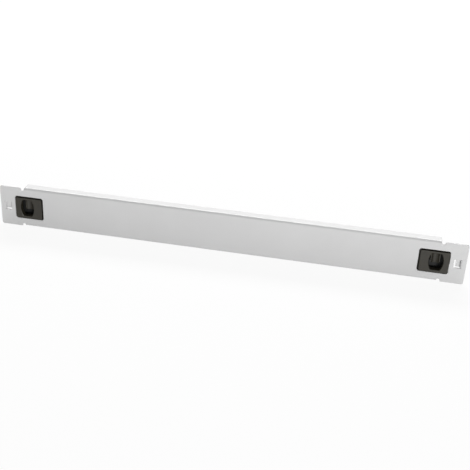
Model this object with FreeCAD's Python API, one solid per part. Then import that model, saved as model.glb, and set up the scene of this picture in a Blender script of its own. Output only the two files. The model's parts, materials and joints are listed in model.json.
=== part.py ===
import FreeCAD, Part
import math
import os
from FreeCAD import Vector

# Tool-less 1U blanking panel for a 19-inch rack.
# One folded steel sheet carries a moulded spring latch at each end.
# Frame: +X across the rack, +Y into the rack, +Z up. The origin is the centre
# of the plane in which the backs of the two ears seat on the rack's rails.
# All lengths are in millimetres.

# Folded sheet
PANEL_WIDTH = 482.6
PANEL_HEIGHT = 43.6
SHEET = 1.2
BEND_INSIDE = 1.6
FLANGE_DEPTH = 10.7
EAR_WIDTH = 26.5
EAR_CORNER = 2.0
RELIEF_WIDTH = 3.8

# Window in the sheet for each latch: its centre's inset from the panel's end, and how far
# the latch's box laps over its top and bottom edges
WINDOW_WIDTH = 30.8
WINDOW_INSET = 31.3
WINDOW_CORNER = 2.5
WINDOW_LAP_TOP = 1.0
WINDOW_LAP_BOTTOM = 0.4

# Rack interface: the rail's edge and its square hole, as insets from the panel's end
RAIL_EDGE_INSET = 16.3
HOLE_INSET = 8.75
HOLE_WIDTH = 9.5

# Hook lug, lanced from each ear and bent twice
LUG_CLEARANCE = 0.5
LUG_HEIGHT = 8.4
LUG_REACH = 3.0
LUG_FOOT = 5.6
LUG_BEND_INSIDE = 0.6
LANCE_LENGTH = 8.0
LANCE_GAP = 0.35
LANCE_CORNER = 0.3

# Latch housing
PAD_GAP_TOP = 1.9
PAD_GAP_BOTTOM = 0.6
PAD_GAP_INBOARD = 1.6
PAD_GAP_OUTBOARD = 0.6
PAD_PROUD = 0.2
PAD_CORNER = 1.4
PAD_EDGE = 0.45
MOAT_DEPTH = 2.4
MOAT_END_WALL = 0.8
LEDGE_FIT = 0.15
LEDGE_THICKNESS = 0.4
RACK_CLEARANCE = 0.2
BASE_THICKNESS = 2.0
BASE_LENGTH = 44.8
BASE_FIT = 0.2
BASE_CORNER = 1.5
WING_LENGTH = 32.0
BOX_LENGTH = 40.8
BOX_DEPTH = 9.4
BOX_CORNER = 1.0
WALL = 1.4

# Finger opening in the pad
FINGER_OFFSET = 2.2
FINGER_WIDTH = 14.4
FINGER_END_WIDTH = 9.0
FINGER_RIM_TOP = 2.1
FINGER_RIM_BOTTOM = 2.3
FINGER_CORNER = 1.2
FINGER_LIP = 0.5

# Latch slider
TRAVEL = 4.2
RUNNING = 0.15
BOLT_ENGAGEMENT = 3.4
BOLT_HEIGHT = 8.0
BOLT_TIP_FLAT = 1.2
GRIP_OFFSET = -0.6
GRIP_WIDTH = 9.1
GRIP_ROOM = 5.3
GRIP_FRONT = 4.1
GRIP_THICKNESS = 3.2
GRIP_CORNER = 2.2
GRIP_RIM = 0.8
GRIP_DISH = 1.9
RAIL_HEIGHT = 2.1
LEG_THICKNESS = 2.2

# Return spring
SPRING_WIRE = 0.6
SPRING_TURNS = 7
SPRING_END_GAP = 0.05
BOSS_CLEARANCE = 0.2
BOSS_LENGTH = 2.5

# Rear cover plate, and the housing's pins that are staked over it
COVER_THICKNESS = 1.2
PIN_RADIUS = 0.9
PIN_FIT = 0.1
PIN_INSET = 1.3
POST_RADIUS = 1.8
HEAD_RADIUS = 1.6
HEAD_HEIGHT = 0.5

# Welded studs and nuts
STUD_DIAMETER = 2.5
STUD_LENGTH = 5.2
STUD_BASE_DIAMETER = 3.8
STUD_BASE_HEIGHT = 0.5
STUD_HOLE_CLEARANCE = 0.15
STUD_INSET = 6.0
NUT_FLATS = 5.0
NUT_HEIGHT = 2.0
NUT_GAP = 0.2
NUT_CHAMFER = 0.3

# Worked out from the sizes above
HALF_WIDTH = PANEL_WIDTH / 2
HALF_HEIGHT = PANEL_HEIGHT / 2
BEND_OUTSIDE = BEND_INSIDE + SHEET
FLANGE_END = FLANGE_DEPTH - SHEET
FLANGE_X = HALF_WIDTH - EAR_WIDTH
RAIL_EDGE = HALF_WIDTH - RAIL_EDGE_INSET
HOLE_OUT = HALF_WIDTH - HOLE_INSET + HOLE_WIDTH / 2

BASE_TOP = HALF_HEIGHT - BEND_OUTSIDE - BASE_FIT
BOX_TOP = BASE_TOP - NUT_FLATS - 2 * NUT_GAP
WINDOW_OUT = HALF_WIDTH - WINDOW_INSET + WINDOW_WIDTH / 2
WINDOW_IN = WINDOW_OUT - WINDOW_WIDTH
WINDOW_TOP = BOX_TOP - WINDOW_LAP_TOP
WINDOW_BOTTOM = WINDOW_LAP_BOTTOM - BOX_TOP

LUG_OUT = HOLE_OUT - LUG_CLEARANCE
LUG_ROOT = LUG_OUT + LUG_BEND_INSIDE
LUG_BEND_OUTSIDE = LUG_BEND_INSIDE + SHEET
LANCE_HALF_HEIGHT = LUG_HEIGHT / 2 + LANCE_GAP

PAD_OUT = WINDOW_OUT - PAD_GAP_OUTBOARD
PAD_IN = WINDOW_IN + PAD_GAP_INBOARD
PAD_TOP = WINDOW_TOP - PAD_GAP_TOP
PAD_BOTTOM = WINDOW_BOTTOM + PAD_GAP_BOTTOM
PAD_FRONT = -SHEET - PAD_PROUD
HOUSING_OUT = RAIL_EDGE - RACK_CLEARANCE
BASE_IN = HOUSING_OUT - BASE_LENGTH
BOX_IN = HOUSING_OUT - BOX_LENGTH
FRONT_WALL_BACK = GRIP_FRONT - RUNNING
CAVITY_IN = BOX_IN + WALL
CAVITY_OUT = HOUSING_OUT - WALL
CAVITY_TOP = BOX_TOP - WALL

FINGER_CENTRE = HALF_WIDTH - WINDOW_INSET + FINGER_OFFSET
FINGER_TOP = PAD_TOP - FINGER_RIM_TOP
FINGER_BOTTOM = PAD_BOTTOM + FINGER_RIM_BOTTOM
GRIP_BOTTOM = FINGER_BOTTOM + GRIP_ROOM
GRIP_CENTRE = FINGER_CENTRE + GRIP_OFFSET
BOLT_TIP = RAIL_EDGE + BOLT_ENGAGEMENT
RAIL_BACK = BOX_DEPTH - RUNNING
BOLT_Y = (GRIP_FRONT + RAIL_BACK) / 2
SLIDER_OUT = CAVITY_OUT - RUNNING
RAIL_TOP = CAVITY_TOP - RUNNING
RAIL_BOTTOM = RAIL_TOP - RAIL_HEIGHT
LEG_IN = FINGER_CENTRE - FINGER_WIDTH / 2 - LEG_THICKNESS - RUNNING
SPRING_RADIUS = (RAIL_BACK - GRIP_FRONT - SPRING_WIRE) / 2
BOSS_RADIUS = SPRING_RADIUS - SPRING_WIRE / 2 - BOSS_CLEARANCE
STUD_Z = (BASE_TOP + BOX_TOP) / 2
STUD_PLACES = ((BASE_IN + WING_LENGTH - STUD_INSET, STUD_Z), (BASE_IN + STUD_INSET, -STUD_Z))
COVER_BACK = BOX_DEPTH + COVER_THICKNESS
PIN_Z = CAVITY_TOP - PIN_INSET
PIN_PLACES = ((CAVITY_IN + PIN_INSET, PIN_Z), (CAVITY_IN + PIN_INSET, -PIN_Z),
              (CAVITY_OUT - PIN_INSET, -PIN_Z))


def block(x0, x1, y0, y1, z0, z1):
    """A box between two corners."""
    return Part.makeBox(x1 - x0, y1 - y0, z1 - z0, Vector(x0, y0, z0))


def round_edges(shape, radius, picked):
    """Fillet the straight edges whose two ends pass the test picked(start, end)."""
    edges = [e for e in shape.Edges if len(e.Vertexes) == 2
             and picked(e.Vertexes[0].Point, e.Vertexes[1].Point)]
    return shape.makeFillet(radius, edges)


def along_y(start, end):
    """True for an edge that runs along Y."""
    return abs(start.y - end.y) > 1e-6 and abs(start.x - end.x) + abs(start.z - end.z) < 1e-6


def slab(x0, x1, y0, y1, z0, z1, corner):
    """A box whose four edges along Y are rounded."""
    return round_edges(block(x0, x1, y0, y1, z0, z1), corner, along_y)


def cylinder_y(x, z, y0, y1, radius):
    """A round bar along Y."""
    return Part.makeCylinder(radius, y1 - y0, Vector(x, y0, z), Vector(0, 1, 0))


def cylinder_x(x0, x1, y, z, radius):
    """A round bar along X."""
    return Part.makeCylinder(radius, x1 - x0, Vector(x0, y, z), Vector(1, 0, 0))


def prism(edges, direction):
    """Extrude the closed outline made by the edges."""
    return Part.Face(Part.Wire(edges)).extrude(direction)


def mirrored(shape):
    """The same shape for the other end of the panel."""
    return shape.mirror(Vector(0, 0, 0), Vector(1, 0, 0))


def channel():
    """The folded middle: the face with a flange bent back along the top and the bottom."""
    inside = HALF_HEIGHT - SHEET
    outer = block(-FLANGE_X, FLANGE_X, -SHEET, FLANGE_END, -HALF_HEIGHT, HALF_HEIGHT)
    outer = round_edges(outer, BEND_OUTSIDE, lambda a, b: abs(a.x - b.x) > 1 and max(a.y, b.y) < 0)
    inner = block(-FLANGE_X, FLANGE_X, 0, 2 * FLANGE_END, -inside, inside)
    inner = round_edges(inner, BEND_INSIDE, lambda a, b: abs(a.x - b.x) > 1 and max(a.y, b.y) < 1)
    return outer.cut(inner)


def ear():
    """The flat right-hand ear, up to where the flanges end."""
    plate = block(FLANGE_X, HALF_WIDTH, -SHEET, 0, -HALF_HEIGHT, HALF_HEIGHT)
    return round_edges(plate, EAR_CORNER,
                       lambda a, b: along_y(a, b) and a.x > HALF_WIDTH - 1e-3)


def relief_cuts():
    """The round-bottomed notches that free the ends of the two bends."""
    radius = RELIEF_WIDTH / 2
    centre = FLANGE_X + radius
    cuts = []
    for side in (-1, 1):
        bottom = HALF_HEIGHT - BEND_OUTSIDE + radius
        low, high = sorted((side * bottom, side * (HALF_HEIGHT + 1)))
        cuts.append(block(FLANGE_X, FLANGE_X + RELIEF_WIDTH, -2 * SHEET, SHEET, low, high))
        cuts.append(cylinder_y(centre, side * bottom, -2 * SHEET, SHEET, radius))
    return cuts


def lug():
    """The right ear's hook lug: the lanced tongue bent back, and its end bent in again."""
    inner_x = LUG_OUT - SHEET
    foot_front = LUG_REACH - SHEET
    low = -LUG_HEIGHT / 2
    turn = math.sqrt(0.5)

    def at(x, y):
        return Vector(x, y, low)

    def bend(centre_x, centre_y, side_x, side_y, radius):
        """A quarter bend about a centre, bulging towards (side_x, side_y)."""
        ends = (at(centre_x, centre_y + side_y * radius), at(centre_x + side_x * radius, centre_y))
        middle = at(centre_x + side_x * radius * turn, centre_y + side_y * radius * turn)
        return Part.Arc(ends[0], middle, ends[1]).toShape()

    foot_x = inner_x - LUG_BEND_INSIDE
    foot_y = foot_front - LUG_BEND_INSIDE
    tip = LUG_OUT - LUG_FOOT
    edges = [bend(LUG_ROOT, LUG_BEND_INSIDE, -1, -1, LUG_BEND_OUTSIDE),
             Part.makeLine(at(inner_x, LUG_BEND_INSIDE), at(inner_x, foot_y)),
             bend(foot_x, foot_y, 1, 1, LUG_BEND_INSIDE),
             Part.makeLine(at(foot_x, foot_front), at(tip, foot_front)),
             Part.makeLine(at(tip, foot_front), at(tip, LUG_REACH)),
             Part.makeLine(at(tip, LUG_REACH), at(foot_x, LUG_REACH)),
             bend(foot_x, foot_y, 1, 1, LUG_BEND_OUTSIDE),
             Part.makeLine(at(LUG_OUT, foot_y), at(LUG_OUT, LUG_BEND_INSIDE)),
             bend(LUG_ROOT, LUG_BEND_INSIDE, -1, -1, LUG_BEND_INSIDE),
             Part.makeLine(at(LUG_ROOT, 0), at(LUG_ROOT, -SHEET))]
    outline = Part.Wire(Part.__sortEdges__(edges))
    return Part.Face(outline).extrude(Vector(0, 0, LUG_HEIGHT))


def panel():
    """The whole folded sheet: channel, ears, windows, reliefs and hook lugs."""
    lance = slab(LUG_ROOT - LANCE_LENGTH, LUG_ROOT, -2 * SHEET, SHEET,
                 -LANCE_HALF_HEIGHT, LANCE_HALF_HEIGHT, LANCE_CORNER)
    right = ear().cut([lance] + relief_cuts()).fuse(lug())
    sheet = channel().fuse([right, mirrored(right)])
    window = slab(WINDOW_IN, WINDOW_OUT, -2 * SHEET, SHEET, WINDOW_BOTTOM, WINDOW_TOP, WINDOW_CORNER)
    return sheet.cut([window, mirrored(window)]).removeSplitter()


def finger_outline(grow):
    """The barrel-shaped finger opening, grown sideways and endways by grow."""
    end = FINGER_END_WIDTH / 2 + grow
    side = FINGER_WIDTH / 2 + grow
    top = FINGER_TOP + grow
    bottom = FINGER_BOTTOM - grow
    middle = (top + bottom) / 2

    def at(x, z):
        return Vector(FINGER_CENTRE + x, 0, z)

    return [Part.makeLine(at(-end, bottom), at(end, bottom)),
            Part.Arc(at(end, bottom), at(side, middle), at(end, top)).toShape(),
            Part.makeLine(at(end, top), at(-end, top)),
            Part.Arc(at(-end, top), at(-side, middle), at(-end, bottom)).toShape()]


def finger_cut():
    """The finger opening through the pad and base, with a chamfered front lip."""
    hole = prism(finger_outline(0), Vector(0, FRONT_WALL_BACK - PAD_FRONT + 2, 0))
    hole.translate(Vector(0, PAD_FRONT - 1, 0))
    hole = round_edges(hole, FINGER_CORNER, along_y)
    front = Part.Wire(finger_outline(FINGER_LIP))
    back = Part.Wire(finger_outline(0))
    front.translate(Vector(0, PAD_FRONT, 0))
    back.translate(Vector(0, PAD_FRONT + FINGER_LIP, 0))
    return hole.fuse(Part.makeLoft([front, back], True))


def moat():
    """The deep groove round the pad, out to the window's top and inboard edges."""
    outer = slab(WINDOW_IN, HOUSING_OUT + WINDOW_CORNER, -1, MOAT_DEPTH,
                 WINDOW_BOTTOM, WINDOW_TOP, WINDOW_CORNER)
    pad = slab(PAD_IN, HOUSING_OUT + WINDOW_WIDTH, -2, MOAT_DEPTH + 1, PAD_BOTTOM, PAD_TOP, PAD_CORNER)
    end = block(HOUSING_OUT - MOAT_END_WALL, HALF_WIDTH, -2, MOAT_DEPTH + 1, -BOX_TOP, BOX_TOP)
    return outer.cut([pad, end])


def ledge():
    """The thin lip that closes the window's outboard and bottom gaps, flush with the sheet's back."""
    bottom = WINDOW_BOTTOM + LEDGE_FIT
    out = WINDOW_OUT - LEDGE_FIT
    lip = slab(PAD_IN, out, -LEDGE_THICKNESS, 0, bottom, WINDOW_TOP - LEDGE_FIT, WINDOW_CORNER)
    over_moat = block(PAD_IN, HOUSING_OUT - MOAT_END_WALL, -1, 1, (PAD_BOTTOM + PAD_TOP) / 2, BOX_TOP)
    return lip.cut(over_moat)


def staked_pin(x, z):
    """A post up from the cavity's floor, with its pin through the cover and its head staked over."""
    post = cylinder_y(x, z, MOAT_DEPTH, BOX_DEPTH, POST_RADIUS)
    pin = cylinder_y(x, z, MOAT_DEPTH, COVER_BACK, PIN_RADIUS)
    head = Part.makeCone(HEAD_RADIUS, PIN_RADIUS, HEAD_HEIGHT, Vector(x, COVER_BACK, z), Vector(0, 1, 0))
    return post.fuse([pin, head])


def housing():
    """Right-hand latch housing: pad in the window, base on the sheet, open-backed box."""
    pad = slab(PAD_IN, PAD_OUT, PAD_FRONT, MOAT_DEPTH, PAD_BOTTOM, PAD_TOP, PAD_CORNER)
    rim = [e for e in pad.Edges if all(abs(v.Point.y - PAD_FRONT) < 1e-6 for v in e.Vertexes)]
    pad = pad.makeFillet(PAD_EDGE, rim)
    behind_rail = block(HOUSING_OUT, HALF_WIDTH, 0, BOX_DEPTH, -BOX_TOP, BOX_TOP)
    wing = slab(BASE_IN, BASE_IN + WING_LENGTH, 0, BASE_THICKNESS, -BASE_TOP, BASE_TOP, BASE_CORNER)
    box = slab(BOX_IN, HOUSING_OUT, 0, BOX_DEPTH, -BOX_TOP, BOX_TOP, BOX_CORNER)
    cavity = block(CAVITY_IN, CAVITY_OUT, FRONT_WALL_BACK, BOX_DEPTH + 1, -CAVITY_TOP, CAVITY_TOP)
    bolt_slot = block(CAVITY_OUT - 1, HOUSING_OUT + 1, GRIP_FRONT - RUNNING, RAIL_BACK + RUNNING,
                      -BOLT_HEIGHT / 2 - RUNNING, BOLT_HEIGHT / 2 + RUNNING)
    cuts = [cavity, bolt_slot, finger_cut()]
    for x, z in STUD_PLACES:
        cuts.append(cylinder_y(x, z, -1, BASE_THICKNESS + 1, STUD_DIAMETER / 2 + STUD_HOLE_CLEARANCE))
        cuts.append(cylinder_y(x, z, -1, STUD_BASE_HEIGHT + STUD_HOLE_CLEARANCE,
                               STUD_BASE_DIAMETER / 2 + STUD_HOLE_CLEARANCE))
    boss = cylinder_x(CAVITY_IN - WALL / 2, CAVITY_IN + BOSS_LENGTH, BOLT_Y, 0, BOSS_RADIUS)
    body = box.fuse(wing).cut(moat()).fuse([pad.cut(behind_rail), ledge()])
    return body.cut(cuts).fuse([boss] + [staked_pin(x, z) for x, z in PIN_PLACES]).removeSplitter()


def grip():
    """The dished finger grip that hangs from the slider's rail."""
    half = GRIP_WIDTH / 2
    solid = block(GRIP_CENTRE - half, GRIP_CENTRE + half, GRIP_FRONT, GRIP_FRONT + GRIP_THICKNESS,
                  GRIP_BOTTOM, RAIL_BOTTOM + RAIL_HEIGHT / 2)
    solid = round_edges(solid, GRIP_CORNER, lambda a, b: along_y(a, b) and a.z < GRIP_BOTTOM + 1e-3)
    chord = half - GRIP_RIM
    radius = (chord ** 2 + GRIP_DISH ** 2) / (2 * GRIP_DISH)
    centre_y = GRIP_FRONT + GRIP_DISH - radius
    height = RAIL_BOTTOM - GRIP_BOTTOM
    dish = Part.makeCylinder(radius, height, Vector(GRIP_CENTRE, centre_y, GRIP_BOTTOM - 1),
                             Vector(0, 0, 1))
    return solid.cut(dish)


def bolt():
    """The sprung bolt behind the rail, its rear corner bevelled to ride over the rail's edge."""
    low = -BOLT_HEIGHT / 2
    root = SLIDER_OUT - LEG_THICKNESS
    bevel_start = HOUSING_OUT - TRAVEL / 2
    corners = [Vector(root, GRIP_FRONT, low), Vector(BOLT_TIP, GRIP_FRONT, low),
               Vector(BOLT_TIP, GRIP_FRONT + BOLT_TIP_FLAT, low), Vector(bevel_start, RAIL_BACK, low),
               Vector(root, RAIL_BACK, low)]
    edges = [Part.makeLine(a, b) for a, b in zip(corners, corners[1:] + corners[:1])]
    return prism(edges, Vector(0, 0, BOLT_HEIGHT))


def slider():
    """Right-hand latch slider: rail, grip, two legs, spring boss and bolt in one moulding."""
    rail = block(LEG_IN, SLIDER_OUT, GRIP_FRONT, RAIL_BACK, RAIL_BOTTOM, RAIL_TOP)
    spring_leg = block(LEG_IN, LEG_IN + LEG_THICKNESS, GRIP_FRONT, RAIL_BACK, -BOLT_HEIGHT / 2, RAIL_TOP)
    bolt_leg = block(SLIDER_OUT - LEG_THICKNESS, SLIDER_OUT, GRIP_FRONT, RAIL_BACK,
                     -BOLT_HEIGHT / 2, RAIL_TOP)
    boss = cylinder_x(LEG_IN - BOSS_LENGTH, LEG_IN + LEG_THICKNESS / 2, BOLT_Y, 0, BOSS_RADIUS)
    return rail.fuse([spring_leg, bolt_leg, boss, grip(), bolt()]).removeSplitter()


def spring():
    """The coil spring between the housing's end wall and the slider's leg."""
    start = CAVITY_IN + SPRING_END_GAP + SPRING_WIRE / 2
    end = LEG_IN - SPRING_END_GAP - SPRING_WIRE / 2
    helix = Part.makeHelix((end - start) / SPRING_TURNS, end - start, SPRING_RADIUS)
    circle = Part.Wire(Part.makeCircle(SPRING_WIRE / 2, Vector(SPRING_RADIUS, 0, 0), Vector(0, 1, 0)))
    coil = helix.makePipeShell([circle], True, True)
    coil.rotate(Vector(0, 0, 0), Vector(0, 1, 0), 90)
    coil.translate(Vector(start, BOLT_Y, 0))
    return coil


def cover():
    """Right-hand rear cover: a flat plate that the slider runs on, bored for the staked pins."""
    plate = slab(BOX_IN, HOUSING_OUT, BOX_DEPTH, COVER_BACK, -BOX_TOP, BOX_TOP, BOX_CORNER)
    return plate.cut([cylinder_y(x, z, BOX_DEPTH - 1, COVER_BACK + 1, PIN_RADIUS + PIN_FIT)
                      for x, z in PIN_PLACES])


def stud(x, z):
    """One welded stud with its flanged foot on the back of the sheet."""
    foot = cylinder_y(x, z, 0, STUD_BASE_HEIGHT, STUD_BASE_DIAMETER / 2)
    return foot.fuse(cylinder_y(x, z, 0, STUD_LENGTH, STUD_DIAMETER / 2)).removeSplitter()


def nut(x, z):
    """One hexagon nut on a stud, against the housing's base."""
    corner_radius = NUT_FLATS / math.sqrt(3)
    points = [Vector(x + corner_radius * math.cos(math.radians(60 * k)), BASE_THICKNESS,
                     z + corner_radius * math.sin(math.radians(60 * k))) for k in range(6)]
    hexagon = prism([Part.makeLine(a, b) for a, b in zip(points, points[1:] + points[:1])],
                    Vector(0, NUT_HEIGHT, 0))
    top = BASE_THICKNESS + NUT_HEIGHT
    bevel = Part.makeCone(corner_radius + NUT_HEIGHT - NUT_CHAMFER, corner_radius - NUT_CHAMFER,
                          NUT_HEIGHT, Vector(x, BASE_THICKNESS, z), Vector(0, 1, 0))
    bore = cylinder_y(x, z, BASE_THICKNESS - 1, top + 1, STUD_DIAMETER / 2)
    return hexagon.common(bevel).cut(bore)


def fasteners(make):
    """The same fastener at every stud place of both ends, as one group of solids."""
    right = [make(x, z) for x, z in STUD_PLACES]
    return Part.makeCompound(right + [mirrored(piece) for piece in right])


def main():
    nodes = {"panel": panel(), "weld_studs": fasteners(stud), "stud_nuts": fasteners(nut)}
    for name, make in (("latch_housing", housing), ("latch_slider", slider),
                       ("latch_spring", spring), ("latch_cover", cover)):
        right = make()
        nodes["right_" + name] = right
        nodes["left_" + name] = mirrored(right)
    os.makedirs("parts", exist_ok=True)
    for name, shape in nodes.items():
        shape.exportStep("parts/" + name + ".step")


main()
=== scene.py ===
import json
import math

import bpy
import numpy as np
from mathutils import Matrix, Vector


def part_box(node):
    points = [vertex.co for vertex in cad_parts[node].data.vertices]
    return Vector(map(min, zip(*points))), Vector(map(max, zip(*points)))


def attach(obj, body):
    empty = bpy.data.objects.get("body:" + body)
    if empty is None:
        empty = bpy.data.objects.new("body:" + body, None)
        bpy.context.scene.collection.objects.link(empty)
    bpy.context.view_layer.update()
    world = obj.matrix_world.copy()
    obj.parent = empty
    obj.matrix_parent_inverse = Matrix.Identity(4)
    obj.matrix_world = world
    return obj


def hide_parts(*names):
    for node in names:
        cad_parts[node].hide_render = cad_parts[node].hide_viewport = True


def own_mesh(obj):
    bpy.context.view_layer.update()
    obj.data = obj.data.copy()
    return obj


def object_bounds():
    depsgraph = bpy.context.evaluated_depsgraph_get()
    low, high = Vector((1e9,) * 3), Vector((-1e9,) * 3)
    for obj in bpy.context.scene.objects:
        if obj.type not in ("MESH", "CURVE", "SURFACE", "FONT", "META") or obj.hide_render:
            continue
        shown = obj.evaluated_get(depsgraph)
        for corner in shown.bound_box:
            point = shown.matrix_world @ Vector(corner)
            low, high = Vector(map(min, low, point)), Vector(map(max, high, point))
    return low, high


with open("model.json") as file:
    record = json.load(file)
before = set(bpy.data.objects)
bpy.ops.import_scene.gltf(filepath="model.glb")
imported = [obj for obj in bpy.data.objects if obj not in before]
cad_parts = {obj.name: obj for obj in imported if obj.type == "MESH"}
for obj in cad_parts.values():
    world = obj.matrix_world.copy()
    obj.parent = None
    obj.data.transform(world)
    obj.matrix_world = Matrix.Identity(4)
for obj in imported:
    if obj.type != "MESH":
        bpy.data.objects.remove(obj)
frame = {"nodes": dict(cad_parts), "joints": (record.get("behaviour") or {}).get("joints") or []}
cad_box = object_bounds()
nodes = frame["nodes"]

# Every length is in metres, so one given in millimetres is written times MM.
MM = 0.001


# ---------------------------------------------------------------- materials

def linear(hex_colour):
    """An sRGB hex colour as linear red, green, blue and alpha."""
    channels = [int(hex_colour[i:i + 2], 16) / 255 for i in (0, 2, 4)]
    return [c / 12.92 if c <= 0.04045 else ((c + 0.055) / 1.055) ** 2.4 for c in channels] + [1.0]


def per_mm(size_mm):
    """The scale of a pattern on Object coordinates whose features are size_mm apart."""
    return 1 / (size_mm * MM)


def new_material(name):
    """An empty node material with its tree and output."""
    material = bpy.data.materials.new(name)
    material.use_nodes = True
    tree = material.node_tree
    tree.nodes.clear()
    return material, tree, tree.nodes.new("ShaderNodeOutputMaterial")


def add(tree, kind, links=None, **settings):
    """Add a node: settings fill its properties or sockets, links maps sockets to (node, output)."""
    node = tree.nodes.new(kind)
    for key, value in settings.items():
        if hasattr(node, key):
            setattr(node, key, value)
        else:
            node.inputs[key.replace("_", " ")].default_value = value
    for key, (source, output) in (links or {}).items():
        tree.links.new(source.outputs[output], node.inputs[key])
    return node


def noise(tree, place, size_mm, detail, roughness=0.5):
    """Noise on Object coordinates, with its largest features size_mm apart."""
    return add(tree, "ShaderNodeTexNoise", {"Vector": (place, "Object")}, Scale=per_mm(size_mm),
               Detail=detail, Roughness=roughness)


def two_tones(tree, pattern, first, last, start=0.0, stop=1.0):
    """Two sRGB hex colours, blended as the pattern's value goes from start to stop."""
    ramp = add(tree, "ShaderNodeValToRGB", {"Fac": (pattern, "Fac")})
    points = ramp.color_ramp.elements
    points[0].position, points[1].position = start, stop
    points[0].color, points[1].color = linear(first), linear(last)
    return ramp


def surface(tree, out, links, **settings):
    """The material's shader, joined to its output."""
    shader = add(tree, "ShaderNodeBsdfPrincipled", links, **settings)
    tree.links.new(shader.outputs[0], out.inputs[0])


def powder_coat():
    """Polyester powder coat in light grey, sprayed dry and baked on folded steel.

    The melt levels into a faint orange peel, so straight reflections waver a little, and a
    finer grain of unmelted powder keeps the gloss to a satin. It builds up round over cut edges."""
    material, tree, out = new_material("satin powder coat")
    place = add(tree, "ShaderNodeTexCoord")
    peel = noise(tree, place, 2.2, detail=2.0, roughness=0.45)
    grain = noise(tree, place, 0.35, detail=3.0, roughness=0.6)
    cloud = noise(tree, place, 45, detail=2.0)
    tone = two_tones(tree, cloud, "CBCBCB", "CECECE", start=0.3, stop=0.7)
    rough = add(tree, "ShaderNodeMapRange", {"Value": (grain, "Fac")}, To_Min=0.24, To_Max=0.34)
    edge = add(tree, "ShaderNodeBevel", samples=4, Radius=0.25 * MM)
    waves = add(tree, "ShaderNodeBump", {"Height": (peel, "Fac"), "Normal": (edge, "Normal")},
                Strength=0.25, Distance=0.02 * MM)
    skin = add(tree, "ShaderNodeBump", {"Height": (grain, "Fac"), "Normal": (waves, "Normal")},
               Strength=0.25, Distance=0.006 * MM)
    surface(tree, out, {"Base Color": (tone, "Color"), "Roughness": (rough, "Result"),
                        "Normal": (skin, "Normal")}, IOR=1.5)
    return material


def moulded_black():
    """Glass-filled nylon, injection moulded in black from a spark-eroded tool.

    The tool's pitted face gives an even fine grain and a dull sheen that greys the black, and
    its worn corners leave every edge of the moulding slightly round."""
    material, tree, out = new_material("black moulded nylon")
    place = add(tree, "ShaderNodeTexCoord")
    pits = add(tree, "ShaderNodeTexVoronoi", {"Vector": (place, "Object")}, Scale=per_mm(0.22))
    flow = noise(tree, place, 6, detail=3.0)
    tone = two_tones(tree, flow, "1D1A11", "221E13", start=0.35, stop=0.7)
    rough = add(tree, "ShaderNodeMapRange", {"Value": (flow, "Fac")}, To_Min=0.44, To_Max=0.56)
    edge = add(tree, "ShaderNodeBevel", samples=4, Radius=0.2 * MM)
    grain = add(tree, "ShaderNodeBump", {"Height": (pits, "Distance"), "Normal": (edge, "Normal")},
                Strength=0.35, Distance=0.02 * MM)
    surface(tree, out, {"Base Color": (tone, "Color"), "Roughness": (rough, "Result"),
                        "Normal": (grain, "Normal")}, IOR=1.5)
    return material


def drawn_wire():
    """Cold-drawn spring wire, oiled: grey steel with faint draw lines."""
    material, tree, out = new_material("drawn spring wire")
    place = add(tree, "ShaderNodeTexCoord")
    lines = noise(tree, place, 0.25, detail=2.0)
    rough = add(tree, "ShaderNodeMapRange", {"Value": (lines, "Fac")}, To_Min=0.25, To_Max=0.42)
    skin = add(tree, "ShaderNodeBump", {"Height": (lines, "Fac")}, Strength=0.2, Distance=0.01 * MM)
    surface(tree, out, {"Roughness": (rough, "Result"), "Normal": (skin, "Normal")},
            Base_Color=linear("A9A8A5"), Metallic=1.0)
    return material


def zinc_plate():
    """Bright zinc plate, blue passivated: a cool silver with a slight cloudiness."""
    material, tree, out = new_material("blue zinc plate")
    place = add(tree, "ShaderNodeTexCoord")
    cloud = noise(tree, place, 1.2, detail=3.0)
    tone = two_tones(tree, cloud, "B4BAC2", "CDD0D2")
    rough = add(tree, "ShaderNodeMapRange", {"Value": (cloud, "Fac")}, To_Min=0.22, To_Max=0.38)
    surface(tree, out, {"Base Color": (tone, "Color"), "Roughness": (rough, "Result")}, Metallic=1.0)
    return material


def electrocoat():
    """Matt black electrocoat on stamped steel: a thin baked film, a little thinner in places.

    The film is thin enough to follow the sheet's rolled grain, which breaks up what it reflects."""
    material, tree, out = new_material("black electrocoat")
    place = add(tree, "ShaderNodeTexCoord")
    film = noise(tree, place, 5, detail=3.0)
    rolled = noise(tree, place, 0.5, detail=2.0)
    tone = two_tones(tree, film, "101010", "151515", start=0.35, stop=0.7)
    rough = add(tree, "ShaderNodeMapRange", {"Value": (film, "Fac")}, To_Min=0.5, To_Max=0.6)
    skin = add(tree, "ShaderNodeBump", {"Height": (rolled, "Fac")}, Strength=0.2, Distance=0.008 * MM)
    surface(tree, out, {"Base Color": (tone, "Color"), "Roughness": (rough, "Result"),
                        "Normal": (skin, "Normal")}, IOR=1.5)
    return material


def copper_flash():
    """Mild steel weld stud with its thin copper flash, dulled where the weld heated it."""
    material, tree, out = new_material("copper-flashed steel")
    place = add(tree, "ShaderNodeTexCoord")
    tarnish = noise(tree, place, 0.9, detail=4.0)
    tone = two_tones(tree, tarnish, "9C6A4E", "C98E6C")
    rough = add(tree, "ShaderNodeMapRange", {"Value": (tarnish, "Fac")}, To_Min=0.3, To_Max=0.5)
    surface(tree, out, {"Base Color": (tone, "Color"), "Roughness": (rough, "Result")}, Metallic=1.0)
    return material


def dress(material, *names):
    """Give CAD nodes their finish."""
    for name in names:
        slots = nodes[name].data.materials
        slots.clear()
        slots.append(material)


dress(powder_coat(), "panel")
dress(moulded_black(), "left_latch_housing", "left_latch_slider", "right_latch_housing",
      "right_latch_slider")
dress(electrocoat(), "left_latch_cover", "right_latch_cover")
dress(zinc_plate(), "stud_nuts")


# --------------------------------------------------- coil springs and threads

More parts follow.
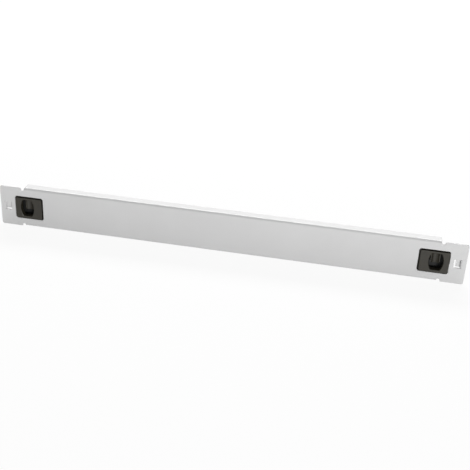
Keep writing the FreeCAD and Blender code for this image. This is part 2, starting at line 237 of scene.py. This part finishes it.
SPRING_WIRE = 0.6 * MM
SPRING_TURNS = 9
STEPS_PER_TURN = 28
WIRE_SIDES = 12

# The studs stand two to a latch: the upper one at STUD_REACH from the panel's middle, the lower
# one STUD_STEP further in, and each STUD_RISE above or below the middle.
STUD_REACH = 206 * MM
STUD_STEP = 20 * MM
STUD_RISE = 16.1 * MM
STUD_RADIUS = 1.25 * MM
STUD_LENGTH = 5.2 * MM
STUD_FOOT_RADIUS = 1.9 * MM
STUD_FOOT_HEIGHT = 0.5 * MM
THREAD_PITCH = 0.45 * MM
THREAD_DEPTH = 0.27 * MM
STUD_SIDES = 32
THREAD_ROWS = 96

# Faces that meet at more than this angle, in degrees, keep a sharp edge between them.
CREASE = 35


def tube_faces(rows, columns, start=0):
    """The quads of a grid that closes round its columns, and a face to fill each end row."""
    index = np.arange(rows * columns).reshape(rows, columns) + start
    near, far = index[:-1], index[1:]
    quads = np.stack([near, np.roll(near, -1, 1), np.roll(far, -1, 1), far], axis=-1)
    return quads.reshape(-1, 4).tolist() + [index[0, ::-1].tolist(), index[-1].tolist()]


def stand_for(node, name, points, faces, material):
    """A new piece on the panel's body that is shown in place of a CAD node."""
    mesh = bpy.data.meshes.new(name)
    mesh.from_pydata(points.reshape(-1, 3).tolist(), [], faces)
    mesh.shade_smooth()
    mesh.set_sharp_from_angle(angle=math.radians(CREASE))
    mesh.materials.append(material)
    piece = bpy.data.objects.new(name, mesh)
    bpy.context.scene.collection.objects.link(piece)
    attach(piece, "panel")
    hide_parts(node)
    return piece


def coil_spring(end, joint, material):
    """A compression spring about X with closed ends, which shortens as the latch is drawn back.

    Along the wire the angle grows evenly. The centre line lies at the coil's mean radius at that
    angle, and moves along X by one wire in the first and the last turn and evenly between them.
    Round it runs a circle of half the wire's size, in the two directions square to the wire: the
    radial one, and the path's tangent times the radial one."""
    node = end + "_latch_spring"
    low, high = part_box(node)
    fixed = joint["deforming_nodes"][0]["fixed_end_x_m"]
    towards = 1 if low.x > fixed else -1
    wire = SPRING_WIRE / 2
    start, stop = (low.x + wire, high.x - wire)[::towards]
    radius = (high.z - low.z) / 2 - wire

    turns = np.linspace(0, SPRING_TURNS, SPRING_TURNS * STEPS_PER_TURN + 1)
    along = np.interp(turns, [0, 1, SPRING_TURNS - 1, SPRING_TURNS],
                      [start, start + towards * SPRING_WIRE, stop - towards * SPRING_WIRE, stop])
    angle = 2 * np.pi * turns
    radial = np.stack([np.zeros_like(angle), np.cos(angle), np.sin(angle)], axis=1)
    centre = np.stack([along, np.full_like(angle, (low.y + high.y) / 2),
                       np.full_like(angle, (low.z + high.z) / 2)], axis=1) + radius * radial
    path = np.gradient(centre, axis=0)
    path /= np.linalg.norm(path, axis=1, keepdims=True)
    side = np.cross(path, radial)
    ring = np.linspace(0, 2 * np.pi, WIRE_SIDES, endpoint=False)
    points = (centre[:, None] + wire * np.cos(ring)[None, :, None] * radial[:, None]
              + wire * np.sin(ring)[None, :, None] * side[:, None])

    piece = stand_for(node, end + "_coil_spring", points, tube_faces(len(turns), len(ring)),
                      material)
    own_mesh(piece)


def threaded_studs(material):
    """The four weld studs, each a flanged foot and a rolled thread, as one piece.

    Each is a surface round Y: the radius at a height and an angle is the core's radius plus the
    thread's depth times a triangle wave of height over pitch less angle over a full turn. A cone
    at the tip cuts the last threads down."""
    angle = np.linspace(0, 2 * np.pi, STUD_SIDES, endpoint=False)
    height = np.linspace(STUD_FOOT_HEIGHT, STUD_LENGTH, THREAD_ROWS)
    phase = (height[:, None] / THREAD_PITCH - angle[None, :] / (2 * np.pi)) % 1
    wave = 1 - np.abs(2 * phase - 1)
    core = STUD_RADIUS - THREAD_DEPTH
    tip = core - THREAD_DEPTH / 2 + (STUD_LENGTH - height[:, None])
    radius = np.minimum(core + THREAD_DEPTH * wave, tip)
    foot = np.full((2, len(angle)), STUD_FOOT_RADIUS)
    radius = np.concatenate([foot, radius])
    height = np.concatenate([[0, STUD_FOOT_HEIGHT], height])[:, None] + np.zeros_like(radius)

    studs = []
    for end in (1, -1):
        for x, z in ((STUD_REACH, STUD_RISE), (STUD_REACH - STUD_STEP, -STUD_RISE)):
            studs.append(np.stack([end * x + radius * np.cos(angle), height,
                                   z - radius * np.sin(angle)], axis=-1))
    faces = [face for number in range(len(studs))
             for face in tube_faces(*radius.shape, start=number * radius.size)]
    stand_for("weld_studs", "threaded_weld_studs", np.array(studs), faces, material)


wire_finish = drawn_wire()
for slide in frame["joints"]:
    coil_spring(slide["name"].split("_")[0], slide, wire_finish)
threaded_studs(copper_flash())


# ------------------------------------------------------------------- studio

FLOOR_REACH = 6.0


def seen_directly(tree):
    """A value of 1 where a ray comes from the camera, from gloss or through glass, and 0 elsewhere."""
    path = add(tree, "ShaderNodeLightPath")
    mirrored = add(tree, "ShaderNodeMath", operation="MAXIMUM")
    tree.links.new(path.outputs["Is Camera Ray"], mirrored.inputs[0])
    tree.links.new(path.outputs["Is Glossy Ray"], mirrored.inputs[1])
    either = add(tree, "ShaderNodeMath", operation="MAXIMUM")
    tree.links.new(mirrored.outputs[0], either.inputs[0])
    tree.links.new(path.outputs["Is Transmission Ray"], either.inputs[1])
    return either


def paper():
    """White background paper. To the camera it partly glows, which keeps the shadows on it faint."""
    material, tree, out = new_material("white paper sweep")
    matt = add(tree, "ShaderNodeBsdfPrincipled", Base_Color=(0.86, 0.86, 0.86, 1.0), Roughness=0.9)
    glow = add(tree, "ShaderNodeEmission", Strength=1.0)
    share = add(tree, "ShaderNodeMapRange", {"Value": (seen_directly(tree), "Value")}, To_Max=0.92)
    mix = add(tree, "ShaderNodeMixShader", {"Fac": (share, "Result")})
    tree.links.new(matt.outputs[0], mix.inputs[1])
    tree.links.new(glow.outputs[0], mix.inputs[2])
    tree.links.new(mix.outputs[0], out.inputs[0])
    return material


def studio_floor(height):
    """A wide level floor at the height the panel stands on."""
    mesh = bpy.data.meshes.new("floor")
    corners = [(x * FLOOR_REACH, y * FLOOR_REACH, height) for x, y in ((-1, -1), (1, -1), (1, 1), (-1, 1))]
    mesh.from_pydata(corners, [], [(0, 1, 2, 3)])
    mesh.materials.append(paper())
    floor = bpy.data.objects.new("floor", mesh)
    bpy.context.scene.collection.objects.link(floor)


def area_light(name, place, size, watts):
    """A softbox at place, turned to the panel's middle, of that width and height."""
    lamp = bpy.data.lights.new(name, "AREA")
    lamp.shape = "RECTANGLE"
    lamp.size, lamp.size_y = size
    lamp.energy = watts
    holder = bpy.data.objects.new(name, lamp)
    holder.location = place
    holder.rotation_euler = (-Vector(place)).to_track_quat("-Z", "Y").to_euler()
    bpy.context.scene.collection.objects.link(holder)


def white_world(strength):
    """Even room light at strength; seen directly, in gloss or through glass the room is white."""
    world = bpy.data.worlds.new("studio")
    bpy.context.scene.world = world
    world.use_nodes = True
    tree = world.node_tree
    tree.nodes.clear()
    out = tree.nodes.new("ShaderNodeOutputWorld")
    room = add(tree, "ShaderNodeBackground", Color=(1, 1, 1, 1), Strength=strength)
    white = add(tree, "ShaderNodeBackground", Color=(1, 1, 1, 1), Strength=1.0)
    mix = add(tree, "ShaderNodeMixShader")
    tree.links.new(seen_directly(tree).outputs[0], mix.inputs[0])
    tree.links.new(room.outputs[0], mix.inputs[1])
    tree.links.new(white.outputs[0], mix.inputs[2])
    tree.links.new(mix.outputs[0], out.inputs[0])


def studio_camera():
    """The camera looks down on the panel's face from the right, a little tilted."""
    yaw, pitch, roll = math.radians(9.859), math.radians(-27.342), math.radians(-2.921)
    data = bpy.data.cameras.new("camera")
    data.sensor_width = 36.0
    data.lens = 67.96
    data.clip_start = 0.05
    turn = (Matrix.Rotation(yaw, 4, "Z") @ Matrix.Rotation(pitch, 4, "X") @ Matrix.Rotation(roll, 4, "Y")
            @ Matrix.Rotation(math.radians(90), 4, "X"))
    camera = bpy.data.objects.new("camera", data)
    camera.matrix_world = Matrix.Translation((0.14804, -0.78946, 0.41359)) @ turn
    bpy.context.scene.collection.objects.link(camera)
    bpy.context.scene.camera = camera


studio_floor(cad_box[0].z)
area_light("rear softbox", place=(-0.1, 1.35, 1.2), size=(2.0, 0.5), watts=42)
area_light("right softbox", place=(0.95, -1.9, 0.12), size=(0.6, 0.15), watts=26.5)
white_world(strength=0.275)
studio_camera()
bpy.context.scene.view_settings.view_transform = "Standard"
